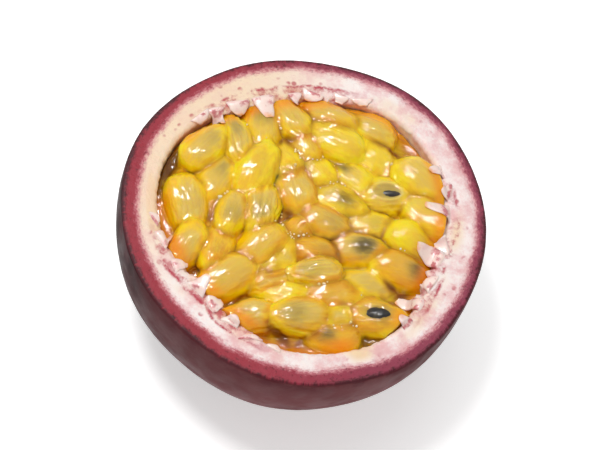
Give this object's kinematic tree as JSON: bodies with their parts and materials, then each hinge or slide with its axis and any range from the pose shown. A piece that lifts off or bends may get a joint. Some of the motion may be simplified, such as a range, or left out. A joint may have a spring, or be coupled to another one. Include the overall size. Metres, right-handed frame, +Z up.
{
  "type": "passion fruit half",
  "caption": "Half of a purple passion fruit lying cut face up, a round rind with white pith around a pulp of glossy yellow seed sacs.",
  "frame": {"origin": "on the ground, under the middle of the fruit's bounding box", "axes": "+Z up, square to the cut face; +X points along the placenta strip at 8 degrees, within 8 degrees"},
  "size_m": [0.054, 0.054, 0.0303],
  "materials": {
    "shell": "satin dark purple skin outside, matt white pith with a purple edge on the cut",
    "pulp": "wet, translucent golden yellow seed sacs",
    "seed": "wet black-brown seeds, seen through the sacs",
    "stalk": "moist pinkish seed stalks on the placentas"
  },
  "bodies": {
    "root": {"shell": "shell", "pulp": "pulp"}
  },
  "joints": []
}
